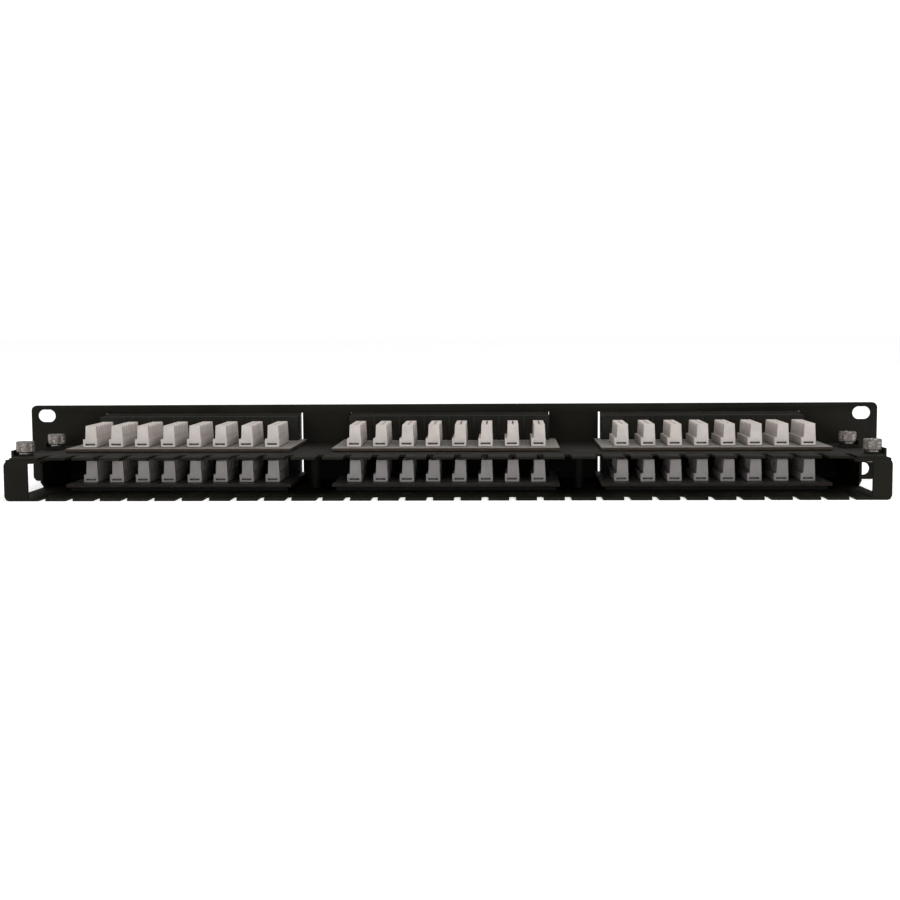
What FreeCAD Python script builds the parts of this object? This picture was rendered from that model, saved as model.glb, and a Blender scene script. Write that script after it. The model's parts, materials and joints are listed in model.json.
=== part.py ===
"""Rack patch bay, 1U, two rows of ports on two sheet-metal trays behind one front panel.

Frame: X across the rack, Y from the panel towards the rear, Z up.  The origin is the centre of the
four rack slots on the panel's rear face.  Heights in the sheet are measured up from the panel's
lower edge, depths from the panel's rear face.
"""
import FreeCAD, Part
import math
import os
import re
import Sketcher

V = FreeCAD.Vector
doc = FreeCAD.newDocument("patch_bay")

# ---------------------------------------------------------------- driving dimensions, millimetres
SIZES = {
    # front panel and its rack slots
    "panel_width": 482.6,
    "panel_height": 43.6,
    "panel_sheet": 2.0,
    "panel_corner": 3.0,
    "slot_spacing_across": 465.1,
    "slot_spacing_up": 31.75,
    "slot_length": 10.3,
    "slot_width": 7.2,
    # ports, in groups of equal pitch
    "port_pitch": 13.97,
    "ports_per_group": 8,
    "groups": 3,
    "group_pitch": 141.5,
    # the window that each group looks out of
    "window_height": 34.2,
    "window_clearance": 0.35,
    "window_slack": 0.8,
    # lower tray
    "tray_sheet": 1.5,
    "tray_depth": 98.5,
    "floor_width": 441.0,
    "flange_height": 4.4,
    "wall_height": 16.5,
    "wall_length": 51.0,
    "wall_relief_length": 5.0,
    "wall_relief_height": 3.0,
    # combs along the rear edges
    "notch_width": 3.5,
    "notch_depth": 14.5,
    "notches_per_group": 10,
    # brackets that carry the upper tray at its ends
    "bracket_spacing": 423.0,
    "bracket_width": 12.2,
    "bracket_top": 20.8,
    "bracket_foot": 28.0,
    "bracket_flange_drop": 3.5,
    "bracket_corner": 3.0,
    "left_tab_trim": 2.6,
    "ledge_spacing": 410.0,
    # upper tray
    "upper_sheet": 1.2,
    "upper_bottom": 20.9,
    "upper_front": 4.0,
    "upper_width": 416.0,
    "lug_outer": 448.0,
    "lug_lead": 9.0,
    "lug_length": 13.0,
    "lug_lip": 2.7,
    # posts under the middle of the upper tray
    "post_radius": 3.0,
    "post_depth": 50.0,
    # circuit boards
    "board_width": 119.8,
    "board_thick": 1.6,
    "board_front": 3.0,
    "board_rear": 67.0,
    "lower_board_top": 5.2,
    "upper_board_top": 24.0,
    "spacer_margin": 2.0,
    # jack strips
    "strip_width": 112.2,
    "strip_rear": 13.5,
    "strip_height": 13.6,
    "nose_proud": 3.5,
    "nose_height": 16.8,
    "nose_gap": 0.4,
    "rib_width": 1.4,
    "rib_proud": 0.9,
    "cavity_width": 11.8,
    "cavity_height": 6.8,
    "cavity_depth": 14.8,
    "lower_cavity_floor": 9.6,
    "upper_cavity_floor": 26.8,
    "latch_width": 6.2,
    "latch_height": 1.5,
    "latch_tip_width": 3.6,
    "latch_tip_height": 1.6,
    "spring_pitch": 1.02,
    "spring_width": 0.5,
    "spring_thick": 0.3,
    "springs_per_port": 8,
    # insulation displacement blocks
    "block_rear": 59.0,
    "block_length": 34.0,
    "block_height": 11.7,
    "block_foot_width": 7.5,
    "block_foot_height": 4.4,
    "block_waist_width": 6.15,
    "block_top_width": 5.5,
    "block_offset": 0.6,
    "wire_pitch": 3.8,
    "wires_per_block": 8,
    "wire_gap": 0.9,
    "wire_depth": 7.0,
    "groove_width": 0.8,
    "fork_width": 2.6,
    "fork_thick": 0.5,
    "fork_height": 5.6,
    "end_slot_width": 5.2,
    "end_slot_height": 1.0,
    "end_slot_depth": 1.6,
    "end_slot_up": 1.2,
    # thumb screws
    "screw_across": 435.6,
    "screw_front": 29.2,
    "screw_rear": 81.5,
    "screw_radius": 2.0,
    "screw_reach": 11.6,
    "head_radius": 4.75,
    "head_height": 5.6,
    "neck_radius": 4.0,
    "neck_height": 0.9,
    "knurls": 30,
    "knurl_depth": 0.28,
    "recess_length": 5.2,
    "recess_width": 1.1,
    "recess_depth": 2.0,
    "washer_radius": 4.2,
    "washer_thick": 0.6,
    "washer_gap": 0.1,
    "hole_clearance": 0.3,
    "thread_clearance": 0.05,
    "nut_radius": 4.0,
    "nut_height": 1.6,
    "nut_spigot_radius": 2.9,
    # countersunk screws that hold the boards from below
    "fixing_radius": 1.25,
    "fixing_head_radius": 2.4,
    "fixing_bite": 2.2,
    "fixing_inset": 3.4,
    "fixing_depth": 8.0,
}

sizes = doc.addObject("Spreadsheet::Sheet", "sizes")
for row, (alias, value) in enumerate(SIZES.items(), start=1):
    sizes.set(f"A{row}", alias)
    sizes.set(f"B{row}", str(value))
    sizes.setAlias(f"B{row}", alias)
doc.recompute()


def sized(text):
    """Turn the short form #name of a cell into the sheet's own reference."""
    return re.sub(r"#(\w+)", r"sizes.\1", text)


def number(text):
    """Value of an expression of cells, in millimetres."""
    return float(sizes.evalExpression(sized(text)))


def bind(thing, **properties):
    """Bind properties of a document object to expressions of cells."""
    for name, text in properties.items():
        thing.setExpression(name, sized(text))
    return thing


def place(thing, x="0", y="0", z="0"):
    """Bind a placement to expressions of cells."""
    for letter, text in (("x", x), ("y", y), ("z", z)):
        thing.setExpression(f"Placement.Base.{letter}", sized(text))
    return thing


# ---------------------------------------------------------------- modelling helpers
NODES = []
GROUND = "-#panel_height / 2"


def finish_node(thing, label, x="0", y="0", z=GROUND):
    """Name a finished sub-part and set it at its height in the object's frame."""
    thing.Label = label
    place(thing, x, y, z)
    NODES.append(thing)
    return thing


def box(name, size, corner=("0", "0", "0")):
    """Block with its size and lowest corner bound to the sheet."""
    block = doc.addObject("Part::Box", name)
    bind(block, Length=size[0], Width=size[1], Height=size[2])
    return place(block, *corner)


def cylinder(name, radius, height, foot):
    """Upright round bar with its size and foot bound to the sheet."""
    bar = doc.addObject("Part::Cylinder", name)
    bind(bar, Radius=radius, Height=height)
    return place(bar, *foot)


def fuse(name, pieces):
    joined = doc.addObject("Part::MultiFuse", name)
    joined.Shapes = pieces
    joined.Refine = True
    return joined


def cut(name, base, tool):
    rest = doc.addObject("Part::Cut", name)
    rest.Base = base
    rest.Tool = tool
    return rest


def shaped(name, shape):
    """Feature for a shape made with Part's own functions from sizes read out of the sheet."""
    feature = doc.addObject("Part::Feature", name)
    feature.Shape = shape
    return feature


def origin_plane(body, role):
    return next(p for p in body.Origin.OriginFeatures if p.Role == role)


def outline(body, name, plane, corners):
    """Closed sketch of straight edges whose corners are bound to expressions of cells."""
    sketch = body.newObject("Sketcher::SketchObject", name)
    sketch.AttachmentSupport = [(origin_plane(body, plane), "")]
    sketch.MapMode = "FlatFace"
    spots = [V(number(a), number(b), 0) for a, b in corners]
    count = len(spots)
    for i in range(count):
        sketch.addGeometry(Part.LineSegment(spots[i], spots[(i + 1) % count]), False)
    for i in range(count):
        sketch.addConstraint(Sketcher.Constraint("Coincident", i, 2, (i + 1) % count, 1))
    for i, (across, up) in enumerate(corners):
        for kind, text, value in (("DistanceX", across, spots[i].x), ("DistanceY", up, spots[i].y)):
            index = sketch.addConstraint(Sketcher.Constraint(kind, -1, 1, i, 1, value))
            sketch.setExpression(f"Constraints[{index}]", sized(text))
    return sketch


def padded_body(name, plane, corners, length, reverse=False, middle=False):
    """Body made by padding one outline."""
    body = doc.addObject("PartDesign::Body", name)
    sketch = outline(body, name + "_outline", plane, corners)
    pad = body.newObject("PartDesign::Pad", name + "_pad")
    pad.Profile = sketch
    pad.Reversed = reverse
    pad.Midplane = middle
    bind(pad, Length=length)
    return body


def pocket(body, name, plane, corners, length):
    """Cut one outline through a body, both ways from the plane that it is drawn on."""
    doc.recompute()
    before = body.Shape.Volume
    sketch = outline(body, name + "_outline", plane, corners)
    feature = body.newObject("PartDesign::Pocket", name)
    feature.Profile = sketch
    feature.Midplane = True
    bind(feature, Length=length)
    doc.recompute()
    if not body.Shape.Volume < before - 1e-6:
        raise RuntimeError(name + " cuts nothing")
    return feature


def group_places():
    """Names of the groups with the expression of each one's centre."""
    return (("left", "-#group_pitch"), ("centre", "0"), ("right", "#group_pitch"))


def port_offsets():
    """Each port's centre, measured across from its group's centre."""
    count = int(number("#ports_per_group"))
    return [(i - (count - 1) / 2) * number("#port_pitch") for i in range(count)]


def copies(shape, offsets):
    """Separate solids, one at each offset across."""
    moved = []
    for offset in offsets:
        solid = shape.copy()
        solid.translate(V(offset, 0, 0))
        moved.append(solid)
    return Part.makeCompound(moved)


# ---------------------------------------------------------------- front panel
def rack_slot(name, across, up):
    """Cutter for one slotted rack hole: a block between two round ends."""
    straight = "(#slot_length - #slot_width)"
    reach = "#panel_sheet * 3"
    middle = box(name + "_middle", (straight, reach, "#slot_width"),
                 (f"{across} - {straight} / 2", "-#panel_sheet * 2", f"{up} - #slot_width / 2"))
    pieces = [middle]
    for side, sign in (("inner", "-"), ("outer", "+")):
        end = cylinder(f"{name}_{side}", "#slot_width / 2", reach,
                       (f"{across} {sign} {straight} / 2", "#panel_sheet", up))
        end.Placement.Rotation = FreeCAD.Rotation(V(1, 0, 0), 90)
        pieces.append(end)
    return fuse(name, pieces)


def front_panel():
    """Flat steel plate with rounded corners, four rack slots and three port windows."""
    half = "#panel_width / 2"
    body = padded_body("panel_blank", "XZ_Plane",
                       [(f"-{half}", "0"), (half, "0"), (half, "#panel_height"),
                        (f"-{half}", "#panel_height")], "#panel_sheet")
    doc.recompute()
    rounds = body.newObject("PartDesign::Fillet", "panel_corners")
    pad = body.getObject("panel_blank_pad")
    corner_edges = [f"Edge{i}" for i, edge in enumerate(pad.Shape.Edges, start=1)
                    if abs(edge.tangentAt(edge.FirstParameter).y) > 0.99]
    rounds.Base = (pad, corner_edges)
    bind(rounds, Radius="#panel_corner")
    cutters = []
    middle = "#panel_height / 2"
    for side, across in (("left", "-#slot_spacing_across / 2"), ("right", "#slot_spacing_across / 2")):
        for level, sign in (("lower", "-"), ("upper", "+")):
            cutters.append(rack_slot(f"rack_slot_{side}_{level}", across,
                                     f"{middle} {sign} #slot_spacing_up / 2"))
    snug = "(#strip_width / 2 + #window_clearance)"
    for name, centre in group_places():
        low_slack = "#window_slack" if name == "right" else "0"
        high_slack = "#window_slack" if name == "left" else "0"
        cutters.append(box(f"window_{name}",
                           (f"2 * {snug} + {low_slack} + {high_slack}", "#panel_sheet * 3", "#window_height"),
                           (f"{centre} - {snug} - {low_slack}", "-#panel_sheet * 2",
                            "(#panel_height - #window_height) / 2")))
    finish_node(cut("front_panel", body, fuse("panel_cutters", cutters)), "front_panel")


# ---------------------------------------------------------------- trays
def comb_cutters(name, bottom, sheet):
    """Round-ended notches along a rear edge, in one set behind each group of ports."""
    width, depth = number("#notch_width"), number("#notch_depth")
    edge = number("#tray_depth")
    low, tall = number(bottom) - 1, number(sheet) + 2
    straight = depth - width / 2
    notch = Part.makeBox(width, straight + 1, tall, V(-width / 2, edge - straight, low))
    notch = notch.fuse(Part.makeCylinder(width / 2, tall, V(0, edge - straight, low)))
    count = int(number("#notches_per_group"))
    pitch, group_pitch = number("#port_pitch"), number("#group_pitch")
    spots = [(g - 1) * group_pitch + (i - (count - 1) / 2) * pitch
             for g in range(int(number("#groups"))) for i in range(count)]
    return shaped(name, copies(notch.removeSplitter(), spots))


def tray_underside(row):
    return "0" if row == "lower" else "#upper_bottom"


def board_screw_spots():
    """Places of the two screws under each board, at the ends of its jack strip."""
    inset = number("#strip_width / 2 - #fixing_inset")
    return [(number(centre) + side * inset, number("#fixing_depth"))
            for _, centre in group_places() for side in (-1, 1)]


def board_screw(row, extra="0"):
    """Countersunk screw at the origin, its flat head level with a tray's underside."""
    shank, head = number(f"#fixing_radius + {extra}"), number(f"#fixing_head_radius + {extra}")
    low = number(tray_underside(row))
    cone = Part.makeCone(head, shank, head - shank, V(0, 0, low))
    bar = Part.makeCylinder(shank, number(f"#{row}_board_top + #fixing_bite") - low, V(0, 0, low))
    return cone.fuse(bar).removeSplitter()


def screw_way(row):
    """Hole for a board screw, with running room all round it."""
    return board_screw(row, "#thread_clearance")


def screw_field(shape):
    """One copy of a board screw, or of its hole, at each of its places."""
    solids = []
    for across, deep in board_screw_spots():
        solid = shape.copy()
        solid.translate(V(across, deep, 0))
        solids.append(solid)
    return Part.makeCompound(solids)


def lower_tray():
    """Floor with a low flange up the panel, a side wall at each end and a comb along its rear edge."""
    gauge = "#tray_sheet"
    profile = [("0", "0"), ("#tray_depth", "0"), ("#tray_depth", gauge),
               (gauge, gauge), (gauge, "#flange_height"), ("0", "#flange_height")]
    pieces = [padded_body("floor_blank", "YZ_Plane", profile, "#floor_width", middle=True)]
    relief = "#wall_length - #wall_relief_length"
    side_view = [("0", "0"), (relief, "0"), (relief, gauge),
                 ("#wall_length", f"{gauge} + #wall_relief_height"),
                 ("#wall_length", "#wall_height"), ("0", "#wall_height")]
    corners = []
    for side, sign in (("left", -1), ("right", 1)):
        wall = padded_body(f"side_wall_{side}", "YZ_Plane", side_view, gauge, reverse=sign > 0)
        pieces.append(place(wall, x=f"{sign} * #floor_width / 2"))
        overhang = "(#floor_width - #bracket_spacing) / 2"
        low = "#bracket_spacing / 2" if sign > 0 else f"-#bracket_spacing / 2 - {overhang} - 1"
        corners.append(box(f"floor_corner_{side}", (f"{overhang} + 1", "#bracket_foot + 1", f"3 * {gauge}"),
                           (low, "#tray_depth - #bracket_foot", f"-{gauge}")))
    blank = cut("floor_cornered", fuse("floor_walled", pieces), fuse("floor_corners", corners))
    combed = cut("floor_combed", blank, comb_cutters("floor_comb", "0", gauge))
    holes = shaped("floor_holes", screw_field(screw_way("lower")))
    finish_node(cut("lower_tray", combed, holes), "lower_tray")


def side_bracket(side, sign):
    """Folded strip: foot, upright rear tab, broad ledge for the upper tray, flange at the panel.

    The left bracket's rear tab is narrower than the right one's.
    """
    top, gauge = "#bracket_top", "#tray_sheet"
    rear, foot = "#tray_depth", "#tray_depth - #bracket_foot"
    profile = [(foot, "0"), (rear, "0"), (rear, top), ("0", top),
               ("0", f"{top} - #bracket_flange_drop"), (gauge, f"{top} - #bracket_flange_drop"),
               (gauge, f"{top} - {gauge}"), (f"{rear} - {gauge}", f"{top} - {gauge}"),
               (f"{rear} - {gauge}", gauge), (foot, gauge)]
    name = f"side_bracket_{side}"
    strip = padded_body(name + "_strip", "YZ_Plane", profile, "#bracket_width", reverse=sign < 0)
    place(strip, x=f"{sign} * #bracket_spacing / 2")
    low = "#ledge_spacing / 2" if sign > 0 else "-#bracket_spacing / 2"
    ledge = box(name + "_ledge", ("(#bracket_spacing - #ledge_spacing) / 2", rear, gauge),
                (low, "0", f"{top} - {gauge}"))
    body = fuse(name + "_folded", [strip, ledge])
    rounded = cut(name + "_rounded", body, tab_corner_cutters(name, sign))
    if side == "left":
        trim = box(name + "_trim", ("#left_tab_trim", "#tray_sheet", f"{top} - 2 * {gauge}"),
                   ("-#bracket_spacing / 2 - #left_tab_trim", f"{rear} - {gauge}", gauge))
        rounded = cut(name + "_narrowed", rounded, trim)
    bores = [cylinder(f"{name}_bore_{spot}", "#nut_spigot_radius + #thread_clearance", "#tray_sheet * 3",
                      (f"{sign} * #screw_across / 2", f"#screw_{spot}", f"{top} - #tray_sheet * 2"))
             for spot in ("front", "rear")]
    finish_node(cut(name, rounded, fuse(name + "_bores", bores)), name)


def tab_corner_cutters(name, sign):
    """What is taken off the two outer corners of a bracket's rear tab to round them."""
    outer = sign * number("#bracket_spacing / 2 + #bracket_width")
    radius, rear = number("#bracket_corner"), number("#tray_depth")
    start, length = rear - number("#tray_sheet") * 2, number("#tray_sheet") * 2 + 1
    cutters = []
    for up, turn in ((0.0, 1), (number("#bracket_top"), -1)):
        across = outer if sign < 0 else outer - radius
        height = up if turn > 0 else up - radius
        corner = Part.makeBox(radius, length, radius, V(across, start, height))
        centre = V(outer - sign * radius, start, up + turn * radius)
        bar = Part.makeCylinder(radius, length, centre, V(0, 1, 0))
        cutters.append(corner.cut(bar))
    return shaped(name + "_corners", Part.makeCompound(cutters))


def upper_tray():
    """Combed sheet with four end lugs, lipped outside and slotted so that it slides off its screws."""
    bottom, sheet = "#upper_bottom", "#upper_sheet"
    pieces = [box("upper_sheet_middle", ("#upper_width", "#tray_depth - #upper_front", sheet),
                  ("-#upper_width / 2", "#upper_front", bottom))]
    slots = []
    slack = "(#screw_radius + #hole_clearance)"
    reach = "(#lug_outer - #upper_width) / 2"
    ear = "(#floor_width - #upper_width) / 2"
    for side, sign in (("left", "-1"), ("right", "1")):
        low = "-#lug_outer / 2" if sign == "-1" else "#upper_width / 2"
        edge = "-#lug_outer / 2" if sign == "-1" else f"#lug_outer / 2 - {sheet}"
        rear_low = "-#floor_width / 2" if sign == "-1" else "#upper_width / 2"
        pieces.append(box(f"rear_ear_{side}", (ear, "#tray_depth - #screw_rear", sheet),
                          (rear_low, "#screw_rear", bottom)))
        for spot in ("front", "rear"):
            name = f"lug_{side}_{spot}"
            start = f"#screw_{spot} - #lug_lead"
            pieces.append(box(name, (reach, "#lug_length", sheet), (low, start, bottom)))
            pieces.append(box(name + "_lip", (sheet, "#lug_length", f"{sheet} + #lug_lip"),
                              (edge, start, bottom)))
            slots.append(box(name + "_way", (f"2 * {slack}", "#lug_lead + 1", f"{sheet} * 3"),
                             (f"{sign} * #screw_across / 2 - {slack}", f"{start} - 1",
                              f"{bottom} - {sheet}")))
            slots.append(cylinder(name + "_seat", slack, f"{sheet} * 3",
                                  (f"{sign} * #screw_across / 2", f"#screw_{spot}", f"{bottom} - {sheet}")))
    blank = cut("upper_slotted", fuse("upper_blank", pieces), fuse("upper_slots", slots))
    combed = cut("upper_combed", blank, comb_cutters("upper_comb", bottom, sheet))
    holes = shaped("upper_holes", screw_field(screw_way("upper")))
    finish_node(cut("upper_tray", combed, holes), "upper_tray")


def support_posts():
    """Two round posts between the trays, in the gaps between the groups."""
    posts = [cylinder(f"post_{side}", "#post_radius", "#bracket_top - #tray_sheet",
                      (f"{sign} * #group_pitch / 2", "#post_depth", "#tray_sheet"))
             for side, sign in (("left", "-1"), ("right", "1"))]
    both = doc.addObject("Part::Compound", "support_posts")
    both.Links = posts
    finish_node(both, "support_posts")


# ---------------------------------------------------------------- one row of boards, jacks and blocks
def board(row, name, centre):
    """Circuit board with its screw holes, and the insulating sheet that it lies on."""
    top = f"#{row}_board_top"
    tray_top = "#tray_sheet" if row == "lower" else "(#upper_bottom + #upper_sheet)"
    holes = shaped(f"board_holes_{row}_{name}", screw_field(screw_way(row)))
    plate = box(f"board_{row}_{name}_plate",
                ("#board_width", "#board_rear - #board_front", "#board_thick"),
                (f"{centre} - #board_width / 2", "#board_front", f"{top} - #board_thick"))
    finish_node(cut(f"board_{row}_{name}", plate, holes), f"board_{row}_{name}")
    inset = "#spacer_margin"
    film = box(f"insulator_{row}_{name}_sheet",
               (f"#board_width - 2 * {inset}", f"#board_rear - #board_front - 2 * {inset}",
                f"{top} - #board_thick - {tray_top}"),
               (f"{centre} - #board_width / 2 + {inset}", f"#board_front + {inset}", tray_top))
    finish_node(cut(f"insulator_{row}_{name}", film, holes), f"insulator_{row}_{name}")


def nose_bottom(row):
    """Lower edge of a strip's nose: the two noses share the window with a narrow gap between."""
    if row == "lower":
        return "((#panel_height - #nose_gap) / 2 - #nose_height)"
    return "((#panel_height + #nose_gap) / 2)"


def jack_strip(row):
    """Ganged housing of one group: a body on the board and a nose through the window."""
    half = "#strip_width / 2"
    top = f"#{row}_board_top"
    rear_block = box(f"strip_{row}_rear", ("#strip_width", "#strip_rear - #board_front", "#strip_height"),
                     (f"-{half}", "#board_front", top))
    nose = box(f"strip_{row}_nose", ("#strip_width", "#nose_proud + #board_front", "#nose_height"),
               (f"-{half}", "-#nose_proud", nose_bottom(row)))
    ribs = [box(f"strip_{row}_rib_{i}", ("#rib_width", "#rib_proud + 1", "#strip_height"),
                (f"({i} - #ports_per_group / 2) * #port_pitch - #rib_width / 2", "#strip_rear - 1", top))
            for i in range(1, int(number("#ports_per_group")))]
    solid = fuse(f"strip_{row}_solid", [rear_block, nose] + ribs)
    doc.recompute()
    floor, height = number(f"#{row}_cavity_floor"), number("#cavity_height")
    front, deep = -number("#nose_proud"), number("#cavity_depth")
    latch_up = 1 if row == "upper" else -1
    edge = floor + height if latch_up > 0 else floor
    steps = [(number("#cavity_width"), floor, height)]
    for width, rise in ((number("#latch_width"), number("#latch_height")),
                        (number("#latch_tip_width"), number("#latch_height + #latch_tip_height"))):
        steps.append((width, edge if latch_up > 0 else edge - rise, rise))
    way = None
    for width, low, tall in steps:
        piece = Part.makeBox(width, deep + 1, tall, V(-width / 2, front - 1, low))
        way = piece if way is None else way.fuse(piece)
    tool = shaped(f"strip_{row}_ways", copies(way.removeSplitter(), port_offsets()))
    hollowed = cut(f"strip_{row}_hollowed", solid, tool)
    pilots = shaped(f"strip_{row}_pilots", screw_field(screw_way(row)))
    return cut(f"strip_{row}_master", hollowed, pilots)


def jack_springs(row):
    """Eight spring contacts for each port, sloping up from the side away from the latch."""
    floor, height = number(f"#{row}_cavity_floor"), number("#cavity_height")
    flip = 1 if row == "upper" else -1
    root = floor if flip > 0 else floor + height
    thick, width = number("#spring_thick"), number("#spring_width")
    rear = number("#cavity_depth") - number("#nose_proud")
    path = [(rear - 13.0, 0.0), (rear - 12.0, 0.0), (rear, 2.9), (rear, 2.9 + thick),
            (rear - 12.2, thick), (rear - 13.0, thick)]
    points = [V(-width / 2, y, root + flip * up) for y, up in path]
    spring = Part.Face(Part.makePolygon(points + points[:1])).extrude(V(width, 0, 0))
    count = int(number("#springs_per_port"))
    spread = [(i - (count - 1) / 2) * number("#spring_pitch") for i in range(count)]
    return copies(spring, [port + offset for port in port_offsets() for offset in spread])


def block_master():
    """One insulation displacement block on end: stepped foot to one side, tapering top, wire gaps.

    The narrower upper part is centred on the block's own axis, and the foot stands out to +X.
    """
    waist, crown = "#block_waist_width / 2", "#block_top_width / 2"
    foot_low, foot_high = "#block_offset - #block_foot_width / 2", "#block_offset + #block_foot_width / 2"
    step, height = "#block_foot_height", "#block_height"
    profile = [(foot_low, "0"), (foot_high, "0"), (foot_high, step), (waist, step), (crown, height),
               (f"-{crown}", height), (f"-{waist}", step), (foot_low, step)]
    body = padded_body("block_master", "XZ_Plane", profile, "#block_length", middle=True)
    middle, floor = "#block_length / 2", "#block_height - #wire_depth"
    groove = f"{middle} - #wire_pitch / 2"
    pocket(body, "block_groove", "YZ_Plane",
           [(f"-({groove})", floor), (groove, floor), (groove, "#block_height + 1"),
            (f"-({groove})", "#block_height + 1")], "#groove_width")
    end_slots = []
    for end, low in (("front", f"-{middle} - 1"), ("rear", f"{middle} - #end_slot_depth")):
        end_slots.append(box(f"block_slot_{end}",
                             ("#end_slot_width", "#end_slot_depth + 1", "#end_slot_height"),
                             ("#block_offset - #end_slot_width / 2", low, "#end_slot_up")))
    slotted = cut("block_end_slotted", body, fuse("block_end_slots", end_slots))
    gap, depth = number("#wire_gap"), number("#wire_depth - 1.4")
    top, reach = number("#block_height"), number("#block_foot_width") + 2
    lead = gap * 1.1
    mouth = [(-gap / 2, top - depth), (gap / 2, top - depth), (gap / 2, top - lead),
             (lead, top), (lead, top + 1), (-lead, top + 1), (-lead, top), (-gap / 2, top - lead)]
    points = [V(-reach / 2, y, z) for y, z in mouth]
    way = Part.Face(Part.makePolygon(points + points[:1])).extrude(V(reach, 0, 0))
    ways = []
    for offset in wire_offsets():
        piece = way.copy()
        piece.translate(V(0, offset, 0))
        ways.append(piece)
    return cut("block_slotted", slotted, shaped("block_wire_ways", Part.makeCompound(ways)))


def wire_offsets():
    """Each wire's place along a block, measured from the block's middle."""
    count = int(number("#wires_per_block"))
    return [(i - (count - 1) / 2) * number("#wire_pitch") for i in range(count)]


def block_forks(top):
    """The forked contacts in one block's groove, one for each wire."""
    wide, thick, tall = number("#fork_width"), number("#fork_thick"), number("#fork_height")
    slit, slit_depth = 0.5, 3.6
    low = number(f"{top} + #block_height - #wire_depth")
    fork = Part.makeBox(thick, wide, tall, V(-thick / 2, -wide / 2, low))
    fork = fork.cut(Part.makeBox(thick * 2, slit, slit_depth + 1,
                                 V(-thick, -slit / 2, low + tall - slit_depth)))
    middle, aside = number("#block_rear - #block_length / 2"), -number("#block_offset")
    forks = []
    for offset in wire_offsets():
        piece = fork.copy()
        piece.translate(V(aside, middle + offset, 0))
        forks.append(piece)
    return forks


def port_row(row, block):
    """Boards, insulators, jack strips, springs, blocks and forks of one tray."""
    strip, springs = jack_strip(row), jack_springs(row)
    doc.recompute()
    middle = number("#block_rear - #block_length / 2")
    top = f"#{row}_board_top"
    stood = block.Shape.copy()
    stood.translate(V(-number("#block_offset"), middle, number(top)))
    for name, centre in group_places():
        board(row, name, centre)
        housing = shaped(f"jack_strip_{row}_{name}", strip.Shape)
        finish_node(housing, f"jack_strip_{row}_{name}", x=centre)
        finish_node(shaped(f"jack_springs_{row}_{name}", springs), f"jack_springs_{row}_{name}", x=centre)
        blocks = shaped(f"wire_blocks_{row}_{name}", copies(stood, port_offsets()))
        finish_node(blocks, f"wire_blocks_{row}_{name}", x=centre)
        forks = Part.makeCompound([copies(fork, port_offsets()) for fork in block_forks(top)])
        finish_node(shaped(f"wire_forks_{row}_{name}", forks), f"wire_forks_{row}_{name}", x=centre)
    finish_node(shaped(f"board_screws_{row}", screw_field(board_screw(row))), f"board_screws_{row}")


# ---------------------------------------------------------------- thumb screws and their nuts
def knurled_head(low):
    """Head with fine upright ridges round its rim, chamfered top and bottom."""
    radius, tall = number("#head_radius"), number("#head_height")
    ridges, dip = int(number("#knurls")), number("#knurl_depth")
    points = []
    for i in range(2 * ridges):
        reach = radius - (dip if i % 2 else 0.0)
        turn = math.pi * i / ridges
        points.append(V(reach * math.cos(turn), reach * math.sin(turn), low))
    star = Part.Face(Part.makePolygon(points + points[:1])).extrude(V(0, 0, tall))
    chamfer = 0.5
    lathe = [V(0, 0, low), V(radius - chamfer, 0, low), V(radius, 0, low + chamfer),
             V(radius, 0, low + tall - chamfer), V(radius - chamfer, 0, low + tall), V(0, 0, low + tall)]
    turned = Part.Face(Part.makePolygon(lathe + lathe[:1])).revolve(V(0, 0, 0), V(0, 0, 1), 360)
    return star.common(turned)


def thumb_screw_shape(seat):
    """Thumb screw standing at the origin with its neck on a washer: head, neck, shank, recess."""
    neck, tall = number("#neck_radius"), number("#neck_height")
    low = seat - number("#screw_reach") + number("#head_height + #neck_height")
    shank = Part.makeCylinder(number("#screw_radius"), seat - low, V(0, 0, low))
    collar = Part.makeCylinder(neck, tall, V(0, 0, seat))
    head = knurled_head(seat + tall)
    top = seat + tall + number("#head_height")
    length, width, depth = number("#recess_length"), number("#recess_width"), number("#recess_depth")
    cross = Part.makeBox(length, width, depth + 1, V(-length / 2, -width / 2, top - depth))
    cross = cross.fuse(Part.makeBox(width, length, depth + 1, V(-width / 2, -length / 2, top - depth)))
    return shank.fuse(collar).fuse(head).removeSplitter().cut(cross)


def thumb_screws():
    """Four knurled screws with their washers, and the nuts pressed into the brackets' ledges."""
    washer_low = number("#upper_bottom + #upper_sheet + #washer_gap")
    thick, bore = number("#washer_thick"), number("#screw_radius + #hole_clearance")
    washer = Part.makeCylinder(number("#washer_radius"), thick, V(0, 0, washer_low))
    washer = washer.cut(Part.makeCylinder(bore, thick + 2, V(0, 0, washer_low - 1)))
    screw = thumb_screw_shape(washer_low + thick)
    nut_top, nut_tall = number("#bracket_top - #tray_sheet"), number("#nut_height")
    nut = Part.makeCylinder(number("#nut_radius"), nut_tall, V(0, 0, nut_top - nut_tall))
    spigot = Part.makeCylinder(number("#nut_spigot_radius"), number("#tray_sheet"), V(0, 0, nut_top))
    thread = number("#screw_radius + #thread_clearance")
    tapping = Part.makeCylinder(thread, number("#bracket_top"), V(0, 0, nut_top - nut_tall - 1))
    nut = nut.fuse(spigot).removeSplitter().cut(tapping)
    nuts = []
    for side, sign in (("left", "-1"), ("right", "1")):
        for spot in ("front", "rear"):
            across, deep = f"{sign} * #screw_across / 2", f"#screw_{spot}"
            name = f"{side}_{spot}"
            finish_node(shaped(f"thumb_screw_{name}", screw), f"thumb_screw_{name}", across, deep)
            finish_node(shaped(f"thumb_washer_{name}", washer), f"thumb_washer_{name}", across, deep)
            piece = nut.copy()
            piece.translate(V(number(across), number(deep), 0))
            nuts.append(piece)
    finish_node(shaped("clinch_nuts", Part.makeCompound(nuts)), "clinch_nuts")


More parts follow.
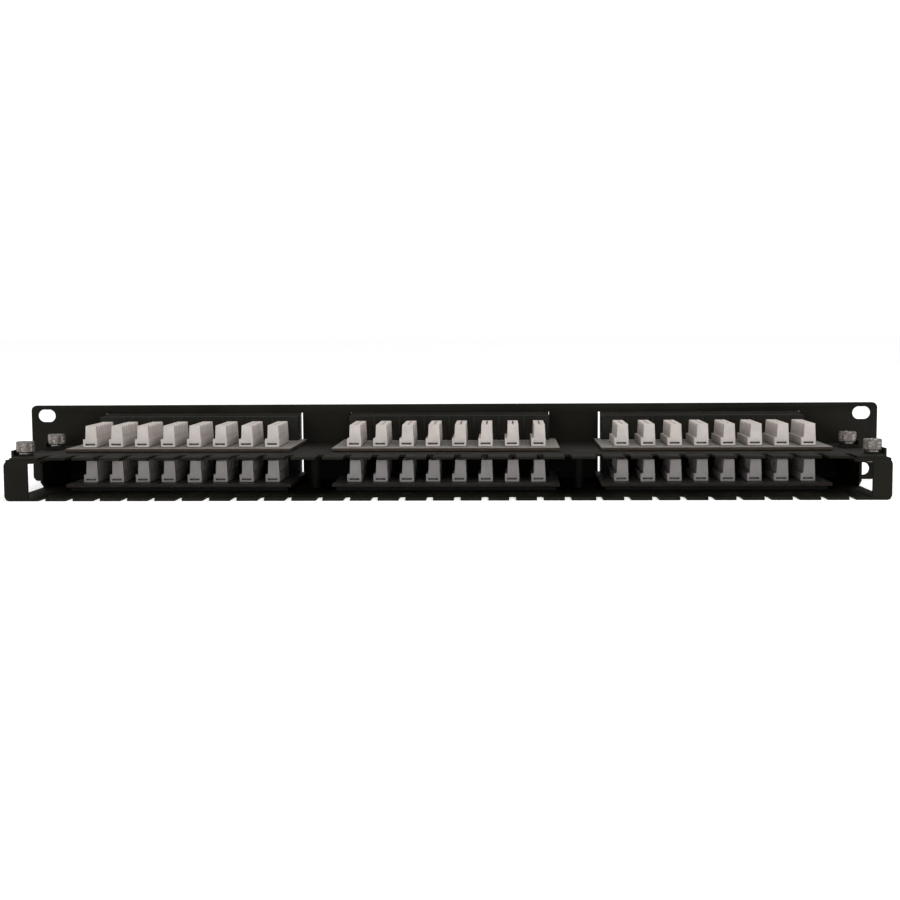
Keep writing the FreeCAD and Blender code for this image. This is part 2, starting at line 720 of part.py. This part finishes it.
# ---------------------------------------------------------------- the whole object
front_panel()
lower_tray()
side_bracket("left", -1)
side_bracket("right", 1)
support_posts()
upper_tray()
wire_block = block_master()
port_row("lower", wire_block)
port_row("upper", wire_block)
thumb_screws()
doc.recompute()

for thing in doc.Objects:
    if "Invalid" in thing.State or "Error" in thing.State:
        raise RuntimeError(f"{thing.Label} failed: {thing.State}")
os.makedirs("parts", exist_ok=True)
for node in NODES:
    if node.Shape.isNull() or not node.Shape.isValid() or not node.Shape.Solids:
        raise RuntimeError(f"{node.Label} has no valid solid")
    node.Shape.exportStep(f"parts/{node.Label}.step")
print(len(NODES), "sub-parts")
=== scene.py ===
import bmesh
import bpy
import json
import math
from mathutils import Matrix, Vector


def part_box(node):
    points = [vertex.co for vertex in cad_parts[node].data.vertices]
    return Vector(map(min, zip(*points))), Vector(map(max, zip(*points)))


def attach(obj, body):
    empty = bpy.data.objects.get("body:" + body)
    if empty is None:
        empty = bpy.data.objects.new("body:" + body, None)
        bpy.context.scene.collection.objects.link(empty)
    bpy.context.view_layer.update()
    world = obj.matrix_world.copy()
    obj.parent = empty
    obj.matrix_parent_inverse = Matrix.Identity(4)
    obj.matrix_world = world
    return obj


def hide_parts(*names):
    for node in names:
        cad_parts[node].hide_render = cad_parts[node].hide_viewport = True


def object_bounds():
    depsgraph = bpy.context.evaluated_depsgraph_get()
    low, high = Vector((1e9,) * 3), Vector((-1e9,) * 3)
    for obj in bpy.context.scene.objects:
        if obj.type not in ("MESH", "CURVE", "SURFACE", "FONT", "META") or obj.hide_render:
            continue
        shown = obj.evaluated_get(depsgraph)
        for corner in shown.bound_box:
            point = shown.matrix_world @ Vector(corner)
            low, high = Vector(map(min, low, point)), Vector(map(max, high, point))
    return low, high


# Looks of the rack patch panel: bevelled meshes, procedural materials, studio light and camera.
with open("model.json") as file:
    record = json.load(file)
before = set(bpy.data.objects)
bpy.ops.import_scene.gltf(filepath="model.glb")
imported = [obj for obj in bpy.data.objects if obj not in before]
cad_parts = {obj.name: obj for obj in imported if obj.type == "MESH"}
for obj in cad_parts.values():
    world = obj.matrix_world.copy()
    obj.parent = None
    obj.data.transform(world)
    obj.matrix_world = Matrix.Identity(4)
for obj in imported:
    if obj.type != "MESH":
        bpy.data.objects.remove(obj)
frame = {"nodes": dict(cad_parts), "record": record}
cad_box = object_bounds()

MM = 0.001
GROUPS = ("left", "centre", "right")
ROWS = ("lower", "upper")
CORNERS = ("left_front", "left_rear", "right_front", "right_rear")
WIRE_PITCH = 3.8 * MM
RIB_PITCH = WIRE_PITCH / 2
(_, BLOCK_FRONT, _), (_, BLOCK_REAR, _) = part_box("wire_blocks_upper_centre")
BLOCK_MIDDLE = (BLOCK_FRONT + BLOCK_REAR) / 2
scene = bpy.context.scene


# ---------------------------------------------------------------- node material helpers
class Shader:
    """A material under construction: one principled shader fed by procedural nodes."""

    def __init__(self, name, base, roughness, metallic=0.0, **sockets):
        self.material = bpy.data.materials.new(name)
        self.material.use_nodes = True
        self.tree = self.material.node_tree
        self.bsdf = self.tree.nodes["Principled BSDF"]
        self.place = self.tree.nodes.new("ShaderNodeTexCoord").outputs["Object"]
        self.bsdf.inputs["Base Color"].default_value = (*base, 1.0)
        self.bsdf.inputs["Roughness"].default_value = roughness
        self.bsdf.inputs["Metallic"].default_value = metallic
        for socket, value in sockets.items():
            self.bsdf.inputs[socket.replace("_", " ")].default_value = value

    def node(self, kind, **inputs):
        made = self.tree.nodes.new(kind)
        for name, value in inputs.items():
            socket = made.inputs[name.replace("_", " ")]
            if isinstance(value, bpy.types.NodeSocket):
                self.tree.links.new(value, socket)
            else:
                socket.default_value = value
        return made

    def noise(self, scale, detail=3.0, stretch=None):
        """Noise whose features are about 1 / scale metres apart, stretched along an axis if asked."""
        place = self.place
        if stretch:
            place = self.node("ShaderNodeMapping", Vector=place, Scale=stretch).outputs["Vector"]
        return self.node("ShaderNodeTexNoise", Vector=place, Scale=scale, Detail=detail).outputs["Fac"]

    def spots(self, scale):
        """Distance to the nearest of scattered points."""
        return self.node("ShaderNodeTexVoronoi", Vector=self.place, Scale=scale).outputs["Distance"]

    def ramp(self, factor, low, high, first, second):
        """Blend from first to second as factor goes from low to high."""
        made = self.node("ShaderNodeValToRGB", Fac=factor)
        made.color_ramp.elements[0].position = low
        made.color_ramp.elements[1].position = high
        made.color_ramp.elements[0].color = (*first, 1.0)
        made.color_ramp.elements[1].color = (*second, 1.0)
        return made.outputs["Color"]

    def grey(self, factor, low, high, first, second):
        return self.ramp(factor, low, high, (first,) * 3, (second,) * 3)

    def mix(self, factor, first, second):
        made = self.tree.nodes.new("ShaderNodeMix")
        made.data_type = "RGBA"
        for socket, value in ((made.inputs[0], factor), (made.inputs[6], first), (made.inputs[7], second)):
            if isinstance(value, bpy.types.NodeSocket):
                self.tree.links.new(value, socket)
            else:
                socket.default_value = value
        return made.outputs[2]

    def maths(self, operation, *values):
        made = self.tree.nodes.new("ShaderNodeMath")
        made.operation = operation
        for socket, value in zip(made.inputs, values):
            self.tree.links.new(value, socket)
        return made.outputs[0]

    def colour(self, output):
        self.tree.links.new(output, self.bsdf.inputs["Base Color"])

    def roughness(self, output):
        self.tree.links.new(output, self.bsdf.inputs["Roughness"])

    def bump(self, height, distance, strength=1.0):
        """Fine relief, on top of any that is there already."""
        made = self.node("ShaderNodeBump", Height=height, Distance=distance, Strength=strength)
        before = self.bsdf.inputs["Normal"]
        if before.is_linked:
            self.tree.links.new(before.links[0].from_socket, made.inputs["Normal"])
        self.tree.links.new(made.outputs["Normal"], before)


def powder_coat(name, base, roughness):
    """Black powder coat: fine orange peel, slight cloudiness, a few brighter specks of dust."""
    shader = Shader(name, base, roughness, Specular_IOR_Level=0.08)
    cloud = shader.noise(28.0, 2.0)
    dull = tuple(c * 0.8 for c in base)
    lifted = tuple(c * 1.35 + 0.001 for c in base)
    tint = shader.ramp(cloud, 0.35, 0.65, dull, lifted)
    dust = shader.grey(shader.spots(260.0), 0.035, 0.06, 1.0, 0.0)
    shader.colour(shader.mix(dust, tint, (0.022, 0.021, 0.018, 1.0)))
    shader.roughness(shader.grey(shader.noise(90.0), 0.3, 0.7, roughness - 0.05, roughness + 0.07))
    shader.bump(shader.noise(1900.0, 2.0), 0.00003, 0.55)
    shader.bump(shader.noise(320.0, 2.0), 0.00006, 0.3)
    return shader.material


def solder_mask():
    """Pale circuit board: speckled mask over the weave of the laminate."""
    shader = Shader("circuit_board", (0.3, 0.29, 0.26), 0.5, Specular_IOR_Level=0.3)
    mottled = shader.ramp(shader.noise(900.0, 4.0), 0.36, 0.64, (0.075, 0.066, 0.057), (0.25, 0.24, 0.22))
    specks = shader.grey(shader.spots(620.0), 0.14, 0.28, 1.0, 0.0)
    shader.colour(shader.mix(specks, mottled, (0.07, 0.055, 0.045, 1.0)))
    shader.bump(shader.noise(2100.0, 2.0), 0.00002, 0.5)
    shader.roughness(shader.grey(shader.noise(150.0), 0.3, 0.7, 0.42, 0.58))
    return shader.material


def board_edge():
    """Sawn edge of the board: dark brown glass-fibre laminate in thin layers."""
    shader = Shader("board_edge", (0.03, 0.022, 0.016), 0.7, Specular_IOR_Level=0.3)
    layers = shader.noise(900.0, 4.0, stretch=(0.2, 0.2, 4.0))
    shader.colour(shader.ramp(layers, 0.35, 0.7, (0.013, 0.009, 0.006), (0.06, 0.04, 0.028)))
    shader.bump(layers, 0.00004, 0.6)
    return shader.material


def block_plastic():
    """Warm white moulded plastic: faint flow marks, satin skin, ribs on the sides drawn as stripes of
    painted shade, painted shade in its slots, gaps and inner corners.
    """
    shader = Shader("block_plastic", (0.48, 0.44, 0.41), 0.42, Subsurface_Weight=0.06,
                    Subsurface_Scale=0.0008, Specular_IOR_Level=0.35)
    plain = shader.ramp(shader.noise(160.0, 3.0), 0.3, 0.7, (0.43, 0.388, 0.362), (0.51, 0.463, 0.432))
    # Ribs on the sides are not modelled: dark stripes of painted shade stand for the shade in their
    # grooves.
    ribs = shader.node("ShaderNodeTexWave", Vector=shader.place, Scale=2 * math.pi / (20 * RIB_PITCH),
                       Phase_Offset=-2 * math.pi * BLOCK_MIDDLE / RIB_PITCH)
    ribs.bands_direction = "Y"
    painted_groove_shade = shader.grey(ribs.outputs["Fac"], 0.08, 0.45, 1.0, 0.0)
    normal = shader.node("ShaderNodeNewGeometry").outputs["Normal"]
    facing = shader.node("ShaderNodeSeparateXYZ", Vector=normal).outputs["X"]
    on_sides = shader.grey(shader.maths("ABSOLUTE", facing), 0.75, 0.9, 0.0, 0.75)
    # The dark stripe colour below is painted groove shade, used only on faces that point along X.
    ribbed = shader.mix(shader.maths("MULTIPLY", on_sides, painted_groove_shade), plain, (0.15, 0.12, 0.105, 1.0))
    # Painted shade: an occlusion node darkens slots, gaps and inner corners, where shade falls; the slots
    # themselves are real pockets.
    openness = shader.node("ShaderNodeAmbientOcclusion", Distance=1.3 * MM).outputs["AO"]
    painted_hollow_shade = shader.grey(openness, 0.50, 0.72, 0.95, 0.0)
    # The near black colour below is the painted shade in those hollows.
    shader.colour(shader.mix(painted_hollow_shade, ribbed, (0.025, 0.02, 0.018, 1.0)))
    shader.roughness(shader.grey(shader.noise(240.0), 0.3, 0.7, 0.36, 0.5))
    shader.bump(shader.noise(1400.0, 2.0), 0.00002, 0.4)
    return shader.material


def black_plastic(name, base, roughness, grain):
    """Moulded black plastic with a fine spark-eroded grain."""
    shader = Shader(name, base, roughness, Specular_IOR_Level=0.13)
    shader.colour(shader.ramp(shader.noise(120.0), 0.3, 0.7, tuple(c * 0.75 for c in base),
                              tuple(c * 1.4 for c in base)))
    shader.roughness(shader.grey(shader.noise(700.0), 0.3, 0.7, roughness - 0.07, roughness + 0.08))
    shader.bump(shader.noise(grain, 2.0), 0.00003, 0.5)
    return shader.material


def plated_metal(name, base, roughness):
    """Plated metal with slight stains and fine tool marks."""
    shader = Shader(name, base, roughness, metallic=1.0)
    stained = tuple(c * 0.72 for c in base)
    shader.colour(shader.ramp(shader.noise(500.0, 4.0), 0.32, 0.6, stained, base))
    shader.roughness(shader.grey(shader.noise(900.0), 0.3, 0.7, roughness - 0.08, roughness + 0.14))
    shader.bump(shader.noise(2600.0, 3.0), 0.00003, 0.5)
    return shader.material


def studio_floor():
    """Pale matt floor with the faintest mottling."""
    shader = Shader("studio_floor", (0.9, 0.9, 0.9), 0.9, Emission_Color=(1.0, 1.0, 1.0, 1.0),
                    Emission_Strength=0.36)
    shader.colour(shader.ramp(shader.noise(3.0), 0.2, 0.8, (0.895, 0.895, 0.895), (0.91, 0.91, 0.91)))
    return shader.material


MATERIALS = {
    "panel_paint": powder_coat("panel_paint", (0.0066, 0.0060, 0.0038), 0.58),
    "tray_paint": powder_coat("tray_paint", (0.0058, 0.0052, 0.0032), 0.58),
    "zinc": plated_metal("zinc", (0.235, 0.215, 0.20), 0.28),
    "fixing_steel": plated_metal("fixing_steel", (0.5, 0.49, 0.46), 0.34),
    "circuit_board": solder_mask(),
    "insulator_film": black_plastic("insulator_film", (0.006, 0.0055, 0.004), 0.6, 900.0),
    "jack_plastic": black_plastic("jack_plastic", (0.0085, 0.0078, 0.0056), 0.5, 1800.0),
    "spring_gold": plated_metal("spring_gold", (0.86, 0.62, 0.24), 0.2),
    "block_plastic": block_plastic(),
    "fork_tin": plated_metal("fork_tin", (0.62, 0.6, 0.56), 0.3),
    "washer_plastic": black_plastic("washer_plastic", (0.01, 0.01, 0.009), 0.38, 1200.0),
}
BOARD_EDGE = board_edge()


# ---------------------------------------------------------------- mesh helpers
def body_of(node):
    """The body that a CAD node belongs to."""
    return next(b for b, members in frame["record"]["behaviour"]["bodies"].items() if node in members)


def slot_of(node):
    """The material slot that the record gives a CAD node."""
    return next(s["material_slot"] for s in frame["record"]["subparts"] if s["node"] == node)


def add_piece(name, mesh, node, material):
    """Object for a finished mesh, riding on the body of a CAD node."""
    piece = bpy.data.objects.new(name, mesh)
    scene.collection.objects.link(piece)
    piece.data.materials.append(material)
    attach(piece, body_of(node))
    return piece


def apply_modifiers(piece):
    """Replace an object's mesh by its evaluated one."""
    depsgraph = bpy.context.evaluated_depsgraph_get()
    final = bpy.data.meshes.new_from_object(piece.evaluated_get(depsgraph))
    piece.modifiers.clear()
    old = piece.data
    piece.data = final
    bpy.data.meshes.remove(old)


SHARP_CORNER = math.radians(32)
SHARP_KNURL = math.radians(24)
BEVEL_FROM = math.radians(28)
FLAT_WITHIN = math.radians(1.0)
BEVEL_SEGMENTS = 2
WELD = 0.002 * MM


def shade(piece, angle=SHARP_CORNER):
    """Smooth shading that keeps true corners sharp."""
    for face in piece.data.polygons:
        face.use_smooth = True
    piece.data.set_sharp_from_angle(angle=angle)


def softened(node, width):
    """A copy of a CAD node with joined flat faces and rounded edges, which stands for the node."""
    mesh = frame["nodes"][node].data.copy()
    mesh.name = node + "_soft"
    mesh.materials.clear()
    work = bmesh.new()
    work.from_mesh(mesh)
    bmesh.ops.remove_doubles(work, verts=work.verts, dist=WELD)
    bmesh.ops.dissolve_limit(work, angle_limit=FLAT_WITHIN, verts=work.verts, edges=work.edges,
                             use_dissolve_boundaries=False)
    work.to_mesh(mesh)
    work.free()
    piece = add_piece(node + "_soft", mesh, node, MATERIALS[slot_of(node)])
    bevel = piece.modifiers.new("edges", "BEVEL")
    bevel.width = width
    bevel.segments = BEVEL_SEGMENTS
    bevel.limit_method = "ANGLE"
    bevel.angle_limit = BEVEL_FROM
    apply_modifiers(piece)
    shade(piece)
    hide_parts(node)
    return piece


def mesh_of(name, points, faces):
    """Mesh from lists of points and faces."""
    mesh = bpy.data.meshes.new(name)
    mesh.from_pydata(points, [], faces)
    mesh.update()
    return mesh


# ---------------------------------------------------------------- boards with their tracks
TRACK_WIDTH = 0.42 * MM
TRACK_HEIGHT = 0.07 * MM
TRACKS_PER_PORT = 8
VIA_RADIUS = 0.55 * MM
VIA_HOLE = 0.25 * MM
VIA_HEIGHT = 0.10 * MM
VIA_SIDES = 12
TRACK_CROWN = 0.8
VIA_CROWN = 0.85
JACK_MARGIN = 1.2 * MM
BLOCK_MARGIN = 1.4 * MM
JACK_TRACK_PITCH = 1.5 * MM
BLOCK_TRACK_PITCH = 0.85 * MM
ROW_STAGGER = 1.1 * MM
FIRST_BEND = 2.2 * MM
BEND_STEP = 0.45 * MM
PORT_PITCH = 13.97 * MM
PORTS = 8
BOARD_CORNER = 0.1 * MM


def add_ribbon(points, faces, path, z):
    """A raised flat strip along a path of points on the board."""
    for (x0, y0), (x1, y1) in zip(path, path[1:]):
        along = Vector((x1 - x0, y1 - y0)).normalized()
        aside = Vector((-along.y, along.x)) * TRACK_WIDTH / 2
        ends = ((x0, y0), (x1, y1))
        first = len(points)
        for height, spread in ((z, 1.0), (z + TRACK_HEIGHT, TRACK_CROWN)):
            for x, y in ends:
                for sign in (1, -1):
                    points.append((x + sign * aside.x * spread, y + sign * aside.y * spread, height))
        for quad in ((4, 5, 7, 6), (0, 4, 6, 2), (1, 3, 7, 5), (0, 1, 5, 4), (2, 6, 7, 3)):
            faces.append(tuple(first + i for i in quad))


def add_via(points, faces, x, y, z):
    """A tinned ring round a small hole."""
    first = len(points)
    rings = ((VIA_RADIUS, 0.0), (VIA_RADIUS * VIA_CROWN, VIA_HEIGHT),
             (VIA_HOLE, VIA_HEIGHT), (VIA_HOLE, 0.0))
    for radius, height in rings:
        for i in range(VIA_SIDES):
            turn = 2 * math.pi * i / VIA_SIDES
            points.append((x + radius * math.cos(turn), y + radius * math.sin(turn), z + height))
    for ring in range(len(rings) - 1):
        for i in range(VIA_SIDES):
            j = (i + 1) % VIA_SIDES
            low, high = first + ring * VIA_SIDES, first + (ring + 1) * VIA_SIDES
            faces.append((low + i, low + j, high + j, high + i))


def dress_board(row, group):
    """Board with sawn brown edges, and on it the tracks from the jacks to the wire blocks."""
    node = f"board_{row}_{group}"
    piece = softened(node, BOARD_CORNER)
    piece.data.materials.append(BOARD_EDGE)
    for face in piece.data.polygons:
        if abs(face.normal.z) < 0.5:
            face.material_index = 1
    (left, _, _), (right, _, top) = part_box(node)
    jack_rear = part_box(f"jack_strip_{row}_{group}")[1][1]
    block_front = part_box(f"wire_blocks_{row}_{group}")[0][1]
    start, end = jack_rear + JACK_MARGIN, block_front - BLOCK_MARGIN
    points, faces, via_points, via_faces = [], [], [], []
    for port in range(PORTS):
        centre = (left + right) / 2 + (port - (PORTS - 1) / 2) * PORT_PITCH
        for i in range(TRACKS_PER_PORT):
            rank = i - (TRACKS_PER_PORT - 1) / 2
            near = centre + rank * JACK_TRACK_PITCH
            far = centre + rank * BLOCK_TRACK_PITCH
            stagger = (i % 2) * ROW_STAGGER
            bend = start + FIRST_BEND + abs(rank) * BEND_STEP
            path = [(near, start + stagger), (near, bend),
                    (far, bend + abs(near - far)), (far, end - stagger)]
            add_ribbon(points, faces, path, top)
            add_via(via_points, via_faces, near, start + stagger, top)
            add_via(via_points, via_faces, far, end - stagger, top)
    tracks = mesh_of(f"tracks_{row}_{group}", points, faces)
    add_piece(tracks.name, tracks, node, MATERIALS["circuit_board"])
    vias = mesh_of(f"vias_{row}_{group}", via_points, via_faces)
    add_piece(vias.name, vias, node, MATERIALS["fork_tin"])


# ---------------------------------------------------------------- knurled thumb screws
SCREW_SIDES = 156
KNURLS_ROUND = 26
KNURL_DEPTH = 0.34 * MM
HEAD_HEIGHT = 5.6 * MM
HEAD_CHAMFER = 0.45 * MM
NECK_RADIUS = 4.0 * MM
NECK_HEIGHT = 0.9 * MM
SHANK_RADIUS = 2.0 * MM
THREAD_PITCH = 0.7 * MM
THREAD_DEPTH = 0.3 * MM
RECESS_ARM = 2.6 * MM
RECESS_HALF = 0.55 * MM
RECESS_DEPTH = 1.8 * MM
RECESS_FLOOR_SHARE = 0.55
RECESS_MOUTH_SHARE = 1.1
RECESS_OVERSHOOT = 0.5 * MM
RECESS_FIELD = RECESS_ARM * 1.3
THREAD_START = 0.3 * MM
TIP_RADIUS = SHANK_RADIUS * 0.7
NECK_CHAMFER = 0.15 * MM
BAND_MARGIN = 0.1 * MM
BAND_STEPS = 26
SCREW_WELD = 0.0001 * MM


def triangle_wave(value):
    """0 at whole numbers, 1 half way between them."""
    return 1.0 - abs(2.0 * (value % 1.0) - 1.0)


def screw_profile(low, top, radius):
    """Radius, height and knurl share of each ring from the shank's tip to the middle of the top."""
    neck_low = top - HEAD_HEIGHT - NECK_HEIGHT
    head_low = top - HEAD_HEIGHT
    rings = [(0.0, low, 0), (TIP_RADIUS, low, 0)]
    turns = int((neck_low - low) / THREAD_PITCH)
    for i in range(turns):
        base = low + THREAD_START + i * THREAD_PITCH
        rings.append((SHANK_RADIUS - THREAD_DEPTH, base, 0))
        rings.append((SHANK_RADIUS, base + THREAD_PITCH * 0.5, 0))
    rings += [(SHANK_RADIUS - THREAD_DEPTH, neck_low, 0), (NECK_RADIUS * 0.95, neck_low, 0),
              (NECK_RADIUS, neck_low + NECK_CHAMFER, 0), (NECK_RADIUS, head_low, 0),
              (radius - HEAD_CHAMFER, head_low, 0), (radius - BAND_MARGIN, head_low + HEAD_CHAMFER, 0)]
    band_low = head_low + HEAD_CHAMFER + BAND_MARGIN
    band_high = top - HEAD_CHAMFER - BAND_MARGIN
    for i in range(BAND_STEPS + 1):
        rings.append((radius, band_low + (band_high - band_low) * i / BAND_STEPS, 1))
    rings += [(radius - BAND_MARGIN, top - HEAD_CHAMFER, 0), (radius - HEAD_CHAMFER, top, 0),
              (RECESS_FIELD, top, 0), (0.0, top, 0)]
    return rings


def screw_mesh(low, top, radius):
    """Turned screw with a diamond knurl round its head, standing on the Z axis."""
    points, faces = [], []
    rings = screw_profile(low, top, radius)
    knurl_pitch = 2 * math.pi * radius / KNURLS_ROUND
    for reach, height, share in rings:
        for i in range(SCREW_SIDES):
            turn = 2 * math.pi * i / SCREW_SIDES
            round_part = KNURLS_ROUND * i / SCREW_SIDES
            rise = height / knurl_pitch
            ridge = min(triangle_wave(round_part + rise), triangle_wave(round_part - rise))
            length = reach - share * KNURL_DEPTH * (1.0 - ridge)
            points.append((length * math.cos(turn), length * math.sin(turn), height))
    for ring in range(len(rings) - 1):
        for i in range(SCREW_SIDES):
            j = (i + 1) % SCREW_SIDES
            low_ring, high_ring = ring * SCREW_SIDES, (ring + 1) * SCREW_SIDES
            faces.append((low_ring + i, low_ring + j, high_ring + j, high_ring + i))
    mesh = mesh_of("thumb_screw_blank", points, faces)
    work = bmesh.new()
    work.from_mesh(mesh)
    bmesh.ops.remove_doubles(work, verts=work.verts, dist=SCREW_WELD)
    bmesh.ops.dissolve_degenerate(work, edges=work.edges, dist=SCREW_WELD)
    work.to_mesh(mesh)
    work.free()
    return mesh


def recess_mesh(top):
    """Tapered cross that is cut out of a screw's top."""
    arm, half = RECESS_ARM, RECESS_HALF
    cross = [(arm, -half), (arm, half), (half, half), (half, arm), (-half, arm), (-half, half),
             (-arm, half), (-arm, -half), (-half, -half), (-half, -arm), (half, -arm), (half, -half)]
    count = len(cross)
    points = []
    for share, height in ((RECESS_FLOOR_SHARE, top - RECESS_DEPTH),
                          (RECESS_MOUTH_SHARE, top + RECESS_OVERSHOOT)):
        points += [(x * share, y * share, height) for x, y in cross]
    faces = [tuple(reversed(range(count))), tuple(range(count, 2 * count))]
    faces += [(i, (i + 1) % count, count + (i + 1) % count, count + i) for i in range(count)]
    return mesh_of("thumb_screw_recess", points, faces)


def add_thumb_screws():
    """Four identical screws with a knurled head and a cross recess, each at its CAD node's place."""
    (x0, _, low), (x1, _, top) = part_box("thumb_screw_left_front")
    blank = bpy.data.objects.new("thumb_screw_blank", screw_mesh(low, top, (x1 - x0) / 2))
    tool = bpy.data.objects.new("thumb_screw_recess", recess_mesh(top))
    for thing in (blank, tool):
        scene.collection.objects.link(thing)
    recess = blank.modifiers.new("recess", "BOOLEAN")
    recess.operation = "DIFFERENCE"
    recess.solver = "EXACT"
    recess.object = tool
    apply_modifiers(blank)
    for corner in CORNERS:
        node = f"thumb_screw_{corner}"
        (left, front, _), (right, rear, _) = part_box(node)
        mesh = blank.data.copy()
        mesh.transform(Matrix.Translation(((left + right) / 2, (front + rear) / 2, 0.0)))
        piece = add_piece(node + "_knurled", mesh, node, MATERIALS["zinc"])
        shade(piece, SHARP_KNURL)
        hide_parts(node)
    for thing in (blank, tool):
        bpy.data.objects.remove(thing)


# ---------------------------------------------------------------- dressing the CAD model
PANEL_EDGE = 0.3 * MM
FOLD_EDGE = 0.22 * MM
BLOCK_EDGE = 0.18 * MM
WASHER_EDGE = 0.1 * MM
for name, node in frame["nodes"].items():
    node.data.materials.clear()
    node.data.materials.append(MATERIALS[slot_of(name)])
softened("front_panel", PANEL_EDGE)
for name in ("lower_tray", "upper_tray", "side_bracket_left", "side_bracket_right"):
    softened(name, FOLD_EDGE)
for row in ROWS:
    for group in GROUPS:
        softened(f"wire_blocks_{row}_{group}", BLOCK_EDGE)
        softened(f"jack_strip_{row}_{group}", FOLD_EDGE)
        dress_board(row, group)
for corner in CORNERS:
    softened(f"thumb_washer_{corner}", WASHER_EDGE)
add_thumb_screws()


# ---------------------------------------------------------------- studio
FLOOR_SIZE = 30.0
LENS = 56.7
SENSOR = 36.0
CAMERA_ACROSS = -0.0294
CAMERA_BEHIND = 0.8069
CAMERA_ABOVE_PANEL = 0.0859
CAMERA_YAW = math.radians(2.09)
CAMERA_PITCH = math.radians(4.86)
CAMERA_ROLL = math.radians(-0.35)
BACKDROP = 1.1
HORIZON_LIGHT = 0.46
ZENITH_LIGHT = 0.98
GRADIENT_FROM = 0.05
GRADIENT_TO = 0.75
WARM_WHITE = (1.0, 0.98, 0.96)
COOL_WHITE = (0.84, 0.91, 1.0)


def add_floor(height):
    """Large pale plane at the object's lowest point."""
    bpy.ops.mesh.primitive_plane_add(size=FLOOR_SIZE, location=(0, 0, height))
    floor = bpy.context.object
    floor.name = "studio_floor"
    floor.data.materials.append(studio_floor())


def add_softbox(name, spot, aim, size, tint, power):
    """Rectangular soft light looking at a point."""
    lamp = bpy.data.lights.new(name, "AREA")
    lamp.shape = "RECTANGLE"
    lamp.size, lamp.size_y = size
    lamp.color = tint
    lamp.energy = power
    holder = bpy.data.objects.new(name, lamp)
    scene.collection.objects.link(holder)
    holder.location = spot
    holder.rotation_euler = (Vector(aim) - Vector(spot)).to_track_quat("-Z", "Y").to_euler()


def add_camera():
    """Camera behind the object, a little above it and a little to one side."""
    data = bpy.data.cameras.new("camera")
    camera = bpy.data.objects.new("camera", data)
    scene.collection.objects.link(camera)
    data.sensor_width = SENSOR
    data.lens = LENS
    panel_bottom = cad_box[0][2]
    spot = Vector((CAMERA_ACROSS, CAMERA_BEHIND, panel_bottom + CAMERA_ABOVE_PANEL))
    level = math.cos(CAMERA_PITCH)
    forward = Vector((math.sin(CAMERA_YAW) * level, -math.cos(CAMERA_YAW) * level,
                      -math.sin(CAMERA_PITCH)))
    turn = forward.to_track_quat("-Z", "Y").to_matrix().to_4x4()
    camera.matrix_world = Matrix.Translation(spot) @ turn @ Matrix.Rotation(CAMERA_ROLL, 4, "Z")
    scene.camera = camera


def add_world():
    """White backdrop; what lights the object is bright overhead and dim near the horizon."""
    world = bpy.data.worlds.new("studio")
    world.use_nodes = True
    tree = world.node_tree
    backdrop = tree.nodes["Background"]
    backdrop.inputs["Color"].default_value = (1.0, 1.0, 1.0, 1.0)
    backdrop.inputs["Strength"].default_value = BACKDROP
    direction = tree.nodes.new("ShaderNodeTexCoord")
    split = tree.nodes.new("ShaderNodeSeparateXYZ")
    height = tree.nodes.new("ShaderNodeMapRange")
    height.inputs["From Min"].default_value = GRADIENT_FROM
    height.inputs["From Max"].default_value = GRADIENT_TO
    height.inputs["To Min"].default_value = HORIZON_LIGHT
    height.inputs["To Max"].default_value = ZENITH_LIGHT
    light = tree.nodes.new("ShaderNodeBackground")
    path = tree.nodes.new("ShaderNodeLightPath")
    either = tree.nodes.new("ShaderNodeMixShader")
    tree.links.new(direction.outputs["Generated"], split.inputs["Vector"])
    tree.links.new(split.outputs["Z"], height.inputs["Value"])
    tree.links.new(height.outputs["Result"], light.inputs["Strength"])
    tree.links.new(path.outputs["Is Camera Ray"], either.inputs[0])
    tree.links.new(light.outputs["Background"], either.inputs[1])
    tree.links.new(backdrop.outputs["Background"], either.inputs[2])
    tree.links.new(either.outputs["Shader"], tree.nodes["World Output"].inputs["Surface"])
    scene.world = world


add_world()
scene.view_settings.view_transform = "Standard"
add_floor(cad_box[0][2])
add_softbox("key", (-0.9, 1.3, 1.6), (0, 0.05, 0), (1.4, 1.0), WARM_WHITE, 24.0)
add_softbox("fill", (1.3, 1.0, 0.9), (0, 0.05, 0), (1.0, 1.0), WARM_WHITE, 7.0)
add_softbox("low", (0.0, 1.5, 0.16), (0, 0.06, 0), (1.8, 0.2), COOL_WHITE, 4.6)
add_camera()

bpy.context.view_layer.update()
